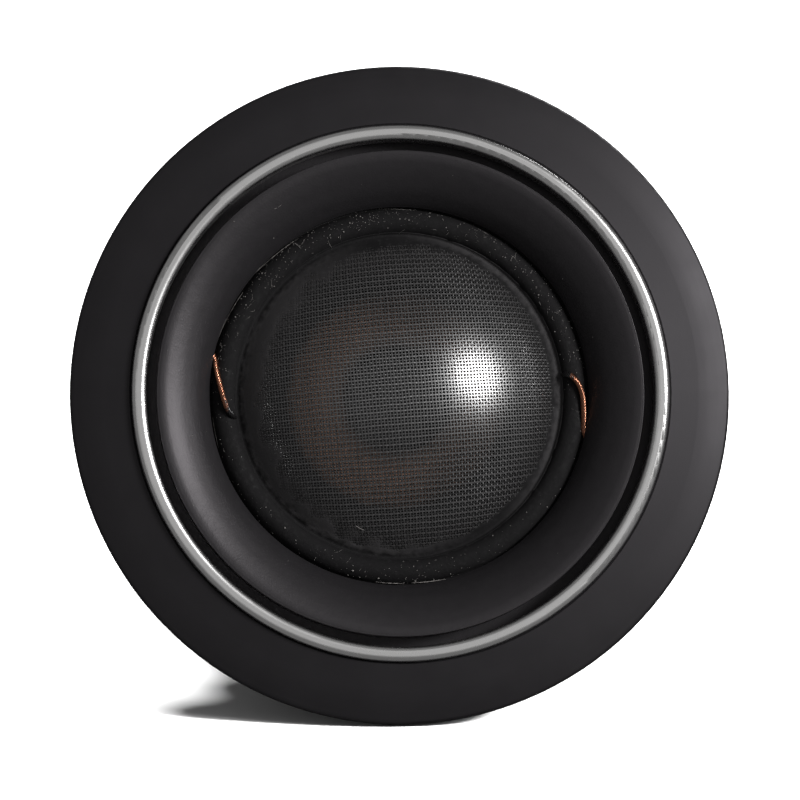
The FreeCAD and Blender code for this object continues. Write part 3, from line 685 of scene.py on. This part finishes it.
lead_look = half_coated_copper("lead_copper", (0.44, 0.20, 0.125), 0.25)
for side in LEADS:
    flexible_lead(side, lead_look)


# ---------------------------------------------------------------- the flare's sanded face
def through(points, steps=8):
    """A smooth line through an array of points in the plane (Catmull-Rom)."""
    p = np.array([2 * points[0] - points[1], *points, 2 * points[-1] - points[-2]])
    t = np.linspace(0, 1, steps, endpoint=False)[:, None]
    line = [0.5 * (2 * b + (c - a) * t + (2 * a - 5 * b + 4 * c - d) * t ** 2
                   + (3 * b - a - 3 * c + d) * t ** 3) for a, b, c, d in zip(p, p[1:], p[2:], p[3:])]
    return np.concatenate([*line, [points[-1]]])


def flare_relief(x, z, r, f):
    return 0.004 * lumps(x, z, 1.6, 5)


def flare_face():
    """A skin over the waveguide's front, turned in finer steps than the CAD mesh. It lies proud of
    the front and sinks into it at both ends."""
    proud, sunk, backing = 0.012, 0.004, 0.02
    rows = {(round(math.hypot(v.co.x, v.co.z) / MM, 2), round(-v.co.y / MM, 2))
            for v in nodes["waveguide"].data.vertices}
    crest = max(f for _, f in rows)
    mouth = max(r for r, f in rows if f > crest - 0.02)
    throat = min(r for r, _ in rows)
    foot = max(f for r, f in rows if r == throat)
    front = sorted((r, f) for r, f in rows if r < mouth - 0.03 and f >= foot)
    line = through(np.array(front))
    slope = np.gradient(line, axis=0)
    normal = np.stack([-slope[:, 1], slope[:, 0]], axis=1) / np.linalg.norm(slope, axis=1)[:, None]
    share = np.linspace(0, 1, len(line))[:, None]
    skin = np.clip(np.minimum(share, 1 - share) * 0.3 - sunk, -sunk, proud)
    profile = [*(line + normal * skin), *(line - normal * backing)[::-1]]
    made = turned_ring("flare_face", profile, LOOKS["waveguide"], relief=flare_relief)
    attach(made, "housing")


flare_face()


# ---------------------------------------------------------------- lint, dust and old glue
def fibre(start, heading, length, height, thickness, bend=None, wave=0.16):
    """A curly fibre that follows the surface given by height(r): its tube's vertices."""
    x, z = start
    steps = max(5, int(length / 0.07))
    if bend is None:
        bend = rng.uniform(-1.2, 1.2)
    line = []
    for k in range(steps):
        r = math.hypot(x, z)
        line.append((x, -(height(r) + thickness * 1.2 + 0.03 * math.sin(k * 0.9)), z))
        heading += bend * length / steps + rng.gauss(0, wave)
        x += math.cos(heading) * length / steps
        z += math.sin(heading) * length / steps
    taper = thickness * np.sin(np.linspace(0.25, math.pi - 0.25, steps))
    return tube_sections(line, taper, loops=4), steps


def crumb(centre, size, height):
    """A speck of dust: its vertices as a short fat tube."""
    x, z = centre
    f = height(math.hypot(x, z))
    peak = (x, -(f + size * 0.8), z + size * rng.uniform(-0.5, 0.5))
    line = [(x - size, -f, z), peak, (x + size, -f, z)]
    return tube_sections(line, np.array([0.3, 1.0, 0.35]) * size, loops=5), 3


def scattered(name, fibres, crumbs, shader):
    """One piece that holds many fibres and crumbs."""
    vertices, faces, start = [], [], 0
    for group, loops in ((fibres, 4), (crumbs, 5)):
        for block, sections in group:
            faces += [[start + i for i in face] for face in bundle([sections], loops)]
            vertices.append(block)
            start += len(block)
    return piece(name, np.concatenate(vertices), faces, shader)


def flare_height(r):
    """Front face of the waveguide."""
    _, place, _, _ = nodes["waveguide"].ray_cast(Vector((r * MM, -0.05, 0)), Vector((0, 1, 0)))
    return -place.y / MM


def dirt_angle():
    """An angle round the axis: most of the lint has gathered above and to the upper left."""
    drifts = ((112, 26), (112, 26), (145, 18), (60, 22), (25, 18), (275, 25), (215, 40))
    return rng.gauss(*rng.choice(drifts))


lint_look = Shader("lint", (0.30, 0.28, 0.27), 0.8, specular_ior_level=0.3)
lint_dark, lint_light = (0.06, 0.055, 0.05), (0.34, 0.32, 0.31)
lint_look.set("Base Color", lint_look.mix(lint_look.noise(0.3, 2), lint_dark, lint_light))

surround_fibres = [fibre((-7.7, 11.7), math.radians(115), 1.1, roll_height, 0.024),
                   fibre((0.6, 13.2), math.radians(200), 0.8, roll_height, 0.016),
                   fibre((8.9, 10.6), math.radians(70), 0.7, roll_height, 0.016)]
surround_crumbs = [crumb(place, size, roll_height) for place, size in (
    ((-4.3, 13.0), 0.07), ((0.9, 13.9), 0.06), ((-4.7, 12.6), 0.05), ((-3.6, 13.7), 0.05),
    ((8.5, 10.9), 0.05), ((11.1, 7.9), 0.06), ((3.6, 14.0), 0.04), ((1.1, -14.7), 0.075),
    ((-8.3, -11.4), 0.045), ((-6.0, -12.2), 0.04), ((2.2, -13.3), 0.04))]
for _ in range(60):
    angle, r = dirt_angle(), rng.uniform(13.2, 14.8)
    x, _, z = point(angle, r, 0)
    surround_fibres.append(fibre((x, z), math.radians(angle + 90) + rng.gauss(0, 0.9),
                                 rng.uniform(0.2, 0.9), roll_height, rng.uniform(0.007, 0.015)))
for _ in range(620):
    x, _, z = point(dirt_angle(), min(14.88, rng.triangular(13.0, 14.95, 14.9)), 0)
    surround_crumbs.append(crumb((x, z), abs(rng.gauss(0, 0.018)) + 0.012, roll_height))
# Long pale fibres along the seam, partly lint and partly a painted highlight on the flare's lip: first
# and last angle, and thickness.
for first, last, thickness in ((122, 150, 0.035), (146, 171, 0.055), (186, 196, 0.03), (262, 271, 0.03),
                               (273, 284, 0.04), (84, 96, 0.02)):
    x, _, z = point(first, SEAM_RADIUS, 0)
    length = math.radians(last - first) * SEAM_RADIUS
    surround_fibres.append(fibre((x, z), math.radians(first + 90), length, roll_height, thickness,
                                 bend=1 / SEAM_RADIUS, wave=0.008))
# This piece holds lint and the seam's pale fibres, which are partly a painted highlight.
lint = scattered("surround_lint_and_lip_highlight", surround_fibres, surround_crumbs, lint_look)
bend_with_diaphragm(lint)

dome_fibres = [fibre((-3.6, -10.3), math.radians(-45), 0.9, dome_height, 0.022)]
dome_crumbs = [crumb((1.5, -7.6), 0.04, dome_height)]
for _ in range(26):
    x, _, z = point(rng.uniform(0, 360), rng.uniform(4, 12.4), 0)
    dome_crumbs.append(crumb((x, z), rng.uniform(0.014, 0.03), dome_height))
dome_dust = scattered("dome_dust", dome_fibres, dome_crumbs, lint_look)
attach(dome_dust, "diaphragm")

flare_fibres = [fibre((-9.9, 14.6), math.radians(3), 0.85, flare_height, 0.02)]
flare_crumbs = [crumb(place, size, flare_height) for place, size in (
    ((-13.0, 13.6), 0.045), ((13.2, 14.4), 0.05), ((15.3, 4.4), 0.03), ((13.0, 9.1), 0.03),
    ((-16.4, -3.2), 0.03), ((4.3, 17.2), 0.025))]
flare_dust = scattered("flare_dust", flare_fibres, flare_crumbs, lint_look)
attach(flare_dust, "housing")


def glue_dots():
    """Dots of clear glue left at the outer edge of the grille groove."""
    blocks = []
    for angle, length in ((158, 0.5), (207, 0.45), (231, 0.6), (234, 0.35), (327, 0.4), (338, 0.55),
                          (52, 0.3)):
        line = [point(angle + 2.9 * length * t, LIP_BORE - 0.05, TRIM_FRONT - 0.42 - 0.1 * t * t)
                for t in (-1, -0.4, 0.3, 1)]
        blocks.append((tube_sections(line, np.array([0.05, 0.13, 0.11, 0.04]), loops=5), 4))
    return blocks


glue_look = Shader("clear_glue", (0.55, 0.54, 0.52), 0.15, coat_weight=0.5)
glue_look.bump(glue_look.noise(0.15, 2), 0.02)
dots = scattered("groove_glue", [], glue_dots(), glue_look)
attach(dots, "housing")


# ---------------------------------------------------------------- felt inside the can
def felt_piece(node, name, shader):
    """Stands for a plain CAD solid of felt: the same shape, divided finely, pulled in a little and
    made uneven."""
    voxel, lump, inset, unevenness = 0.35, 1.1, 0.14, 0.12
    made = bpy.data.objects.new(name, nodes[node].data.copy())
    bpy.context.scene.collection.objects.link(made)
    made.data.materials.clear()
    made.data.materials.append(shader.material)
    remesh = made.modifiers.new("remesh", "REMESH")
    remesh.mode = "VOXEL"
    remesh.voxel_size = voxel * MM
    graph = bpy.context.evaluated_depsgraph_get()
    mesh = bpy.data.meshes.new_from_object(made.evaluated_get(graph))
    made.modifiers.clear()
    made.data = mesh
    middle = sum((v.co for v in mesh.vertices), Vector()) / len(mesh.vertices)
    for vertex in mesh.vertices:
        shake = noise.fractal(vertex.co / (lump * MM), 0.8, 2.0, 3)
        vertex.co += (middle - vertex.co).normalized() * (inset + unevenness * shake) * MM
    mesh.polygons.foreach_set("use_smooth", [True] * len(mesh.polygons))
    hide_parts(node)
    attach(made, "housing")


felt_look = felt("wool_felt", (0.035, 0.035, 0.036))
felt_piece("chamber_wadding", "wadding_felt", felt_look)
felt_piece("vent_plug", "vent_felt", felt_look)


# ---------------------------------------------------------------- floor, camera and lights
def resting_plane():
    """The floor's upward direction and its height along it: the tweeter lies back on the edge of its
    flange and the back edge of its can."""
    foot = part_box("faceplate")[0].z
    slope = min((v.co.z - foot) / v.co.y for v in nodes["rear_can"].data.vertices if v.co.y > 0.002)
    up = Vector((0, -slope, 1)).normalized()
    lowest = min(v.co.dot(up) for n in ("faceplate", "rear_can") for v in nodes[n].data.vertices)
    return up, lowest


FLOOR_UP, FLOOR_HEIGHT = resting_plane()
CAMERA_LEFT, CAMERA_BELOW = math.radians(2.6), math.radians(4.6)
CAMERA_DISTANCE = 0.45                        # metres
AIM_FORWARD = 1.2                             # how far forward of the panel camera and lights aim
FLANGE_FILL = 0.8253                          # the flange's radius, as a share of half the frame
FLANGE_CENTRE = (0.0007, 0.0154)              # its centre, right and up, as shares of half the frame
FLOOR_SEEN, FLOOR_BOUNCE = 0.9, 0.04          # the floor's grey to the camera, and to other light
SKY_SEEN, SKY_LIGHT = 1.0, 0.17               # the sky's brightness in the same way


def axes(direction):
    """Right, up and backwards axes of something that looks back along direction, level to the floor."""
    back = direction.normalized()
    right = FLOOR_UP.cross(back).normalized()
    return right, back.cross(right), back


def placed(obj, location, right, up, back):
    obj.matrix_world = Matrix.Translation(location) @ Matrix((right, up, back)).transposed().to_4x4()
    bpy.context.scene.collection.objects.link(obj)


towards_camera = Vector((-math.sin(CAMERA_LEFT), -math.cos(CAMERA_LEFT) * math.cos(CAMERA_BELOW),
                         -math.sin(CAMERA_BELOW)))
RIGHT, UP, BACK = axes(towards_camera)
half_frame = FLANGE_RADIUS * MM / FLANGE_FILL
middle = Vector((0, -AIM_FORWARD * MM, 0))
aim = middle - RIGHT * FLANGE_CENTRE[0] * half_frame - UP * FLANGE_CENTRE[1] * half_frame
camera_data = bpy.data.cameras.new("camera")
camera_data.sensor_width = 36
camera_data.lens = camera_data.sensor_width / 2 * CAMERA_DISTANCE / half_frame
camera_data.clip_start, camera_data.clip_end = 0.01, 20
camera = bpy.data.objects.new("camera", camera_data)
placed(camera, aim + BACK * CAMERA_DISTANCE, RIGHT, UP, BACK)
bpy.context.scene.camera = camera


def from_camera(side, rise):
    """A direction by its angle to the right of the camera and above it."""
    a, b = math.radians(side), math.radians(rise)
    return RIGHT * math.sin(a) * math.cos(b) + UP * math.sin(b) + BACK * math.cos(a) * math.cos(b)


def studio_light(name, side, rise, distance, size, strength):
    """A round softbox, placed by its angle to the right of the camera and above it, and by its
    distance in metres. strength is the light that falls on a surface at the tweeter that faces it."""
    direction = from_camera(side, rise)
    data = bpy.data.lights.new(name, "AREA")
    data.shape, data.size = "DISK", size
    data.energy = strength * math.pi * distance ** 2
    lamp = bpy.data.objects.new(name, data)
    placed(lamp, middle + direction * distance, *axes(direction))
    return lamp


studio_light("key", side=48.5, rise=15.5, distance=0.5, size=0.17, strength=3.6)
studio_light("front_fill", side=0, rise=4, distance=1.0, size=1.5, strength=0.42)
back_lights = (studio_light("back_key", side=146, rise=38, distance=0.5, size=0.4, strength=4.5),
               studio_light("back_fill", side=205, rise=12, distance=1.0, size=1.6, strength=2.0))

reach = 3                                     # metres from the middle of the floor to its sides
floor_mesh = bpy.data.meshes.new("floor")
floor_mesh.from_pydata([(-reach, -reach, 0), (reach, -reach, 0), (reach, reach, 0), (-reach, reach, 0)],
                       [], [(0, 1, 2, 3)])
floor = bpy.data.objects.new("floor", floor_mesh)
floor_right = Vector((1, 0, 0))
placed(floor, FLOOR_UP * FLOOR_HEIGHT, floor_right, FLOOR_UP.cross(floor_right), FLOOR_UP)


def seen_and_unseen(tree, seen, unseen):
    """A colour that is one grey to the camera and another to the light that bounces about."""
    path = tree.nodes.new("ShaderNodeLightPath")
    mix = tree.nodes.new("ShaderNodeMix")
    tree.links.new(path.outputs["Is Camera Ray"], mix.inputs[0])
    mix.inputs[2].default_value, mix.inputs[3].default_value = unseen, seen
    return mix.outputs[0]


floor_look = bpy.data.materials.new("floor_white")
floor_look.use_nodes = True
floor_surface = floor_look.node_tree.nodes["Principled BSDF"]
floor_surface.inputs["Roughness"].default_value = 0.9
floor_surface.inputs["Specular IOR Level"].default_value = 0.0
floor_grey = seen_and_unseen(floor_look.node_tree, FLOOR_SEEN, FLOOR_BOUNCE)
floor_look.node_tree.links.new(floor_grey, floor_surface.inputs["Base Color"])
floor_mesh.materials.append(floor_look)

only_floor = bpy.data.collections.new("lit_by_floor_lights")
only_floor.objects.link(floor)
all_but_floor = bpy.data.collections.new("lit_by_back_lights")
all_but_floor.objects.link(floor)
all_but_floor.collection_objects[0].light_linking.link_state = "EXCLUDE"
for lamp in back_lights:
    lamp.light_linking.receiver_collection = all_but_floor


def floor_light(name, direction, softness, brightness):
    """A distant light that falls on the floor alone. brightness is the floor's, where 1 is white."""
    data = bpy.data.lights.new(name, "SUN")
    data.angle = math.radians(softness)
    data.energy = brightness * math.pi / FLOOR_SEEN / direction.normalized().dot(FLOOR_UP)
    lamp = bpy.data.objects.new(name, data)
    placed(lamp, direction, *axes(direction))
    lamp.light_linking.receiver_collection = only_floor


floor_light("overhead", FLOOR_UP - 0.32 * RIGHT + 0.16 * BACK, softness=14, brightness=1.5)
floor_light("floor_key", from_camera(52, 20), softness=8, brightness=1.5)

world = bpy.data.worlds.new("studio")
bpy.context.scene.world = world
world.use_nodes = True
background = world.node_tree.nodes["Background"]
sky = seen_and_unseen(world.node_tree, SKY_SEEN, SKY_LIGHT)
world.node_tree.links.new(sky, background.inputs["Strength"])
background.inputs["Color"].default_value = (1, 1, 1, 1)
bpy.context.scene.view_settings.view_transform = "Standard"

bpy.context.view_layer.update()
